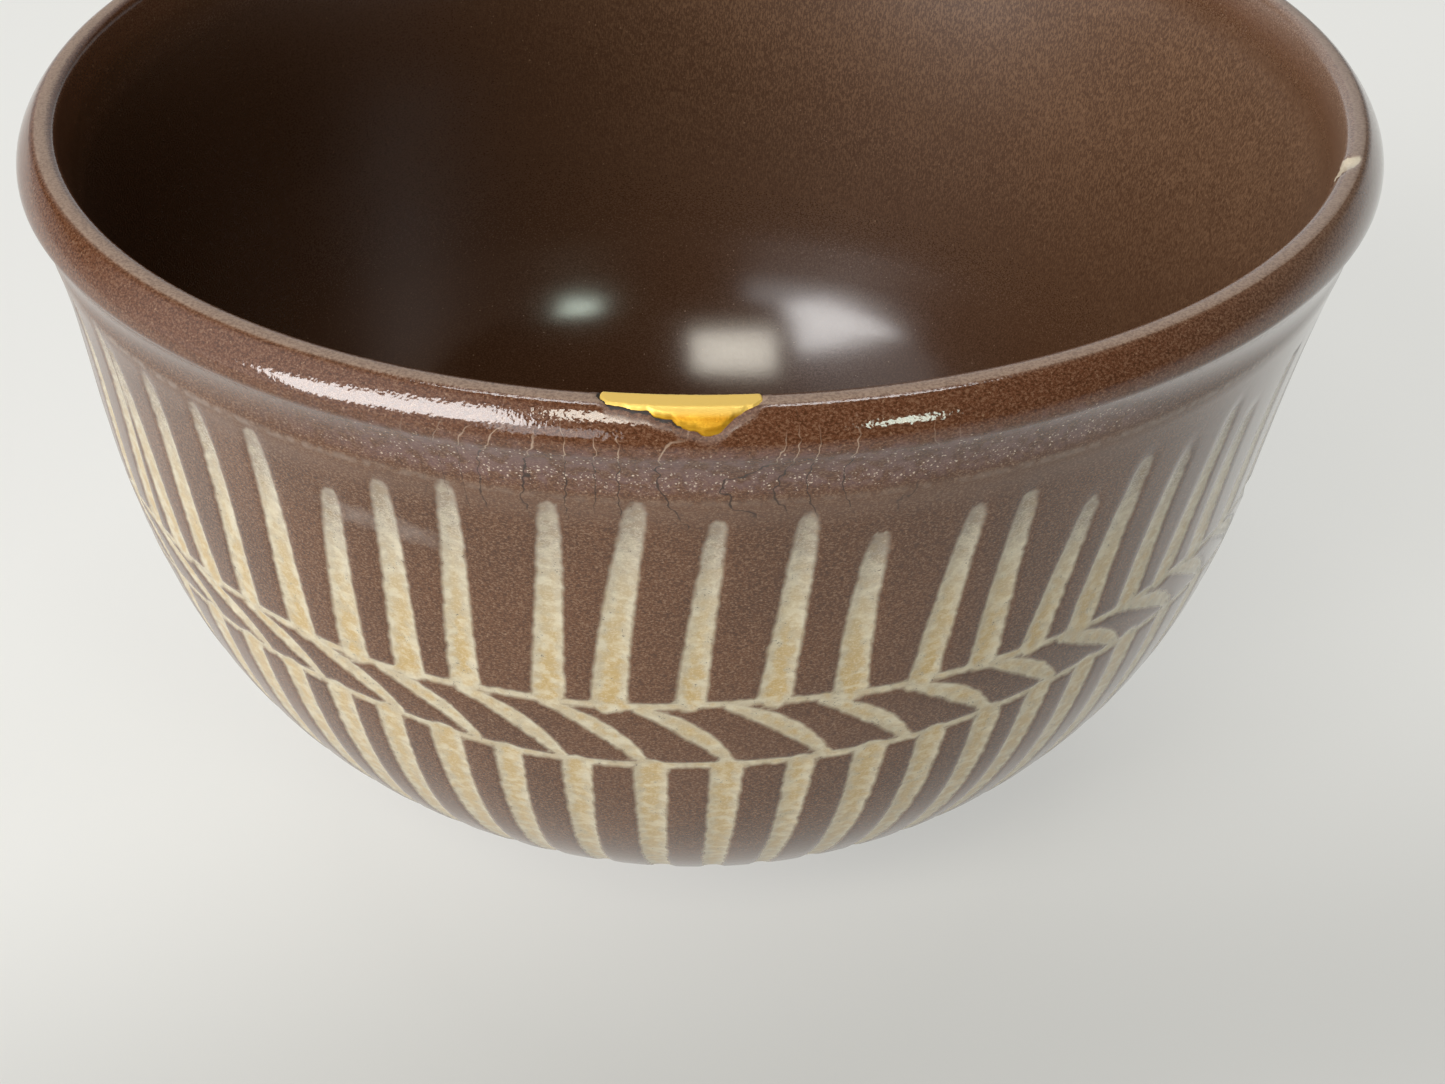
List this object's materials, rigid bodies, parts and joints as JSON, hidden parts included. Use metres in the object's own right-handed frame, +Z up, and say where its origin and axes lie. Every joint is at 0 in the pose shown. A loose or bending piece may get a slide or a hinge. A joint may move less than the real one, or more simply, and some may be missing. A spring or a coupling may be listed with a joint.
{
  "type": "cracked bowl",
  "caption": "Deep round footed bowl with a rolled rim and carved upright strokes; one rim chip is filled with gold lacquer, a smaller one is bare.",
  "frame": {"origin": "centre of the foot ring, on the surface that the bowl stands on", "axes": "+Z up along the turning axis; the filled chip in the rim faces -Y"},
  "size_m": [0.14, 0.14, 0.09],
  "materials": {
    "glazed_stoneware": "glossy clear glaze over brown slip",
    "gold_lacquer": "gold powder on lacquer, unevenly rubbed"
  },
  "bodies": {
    "root": {"bowl": "glazed_stoneware", "gold_rim_fill": "gold_lacquer"}
  },
  "joints": []
}
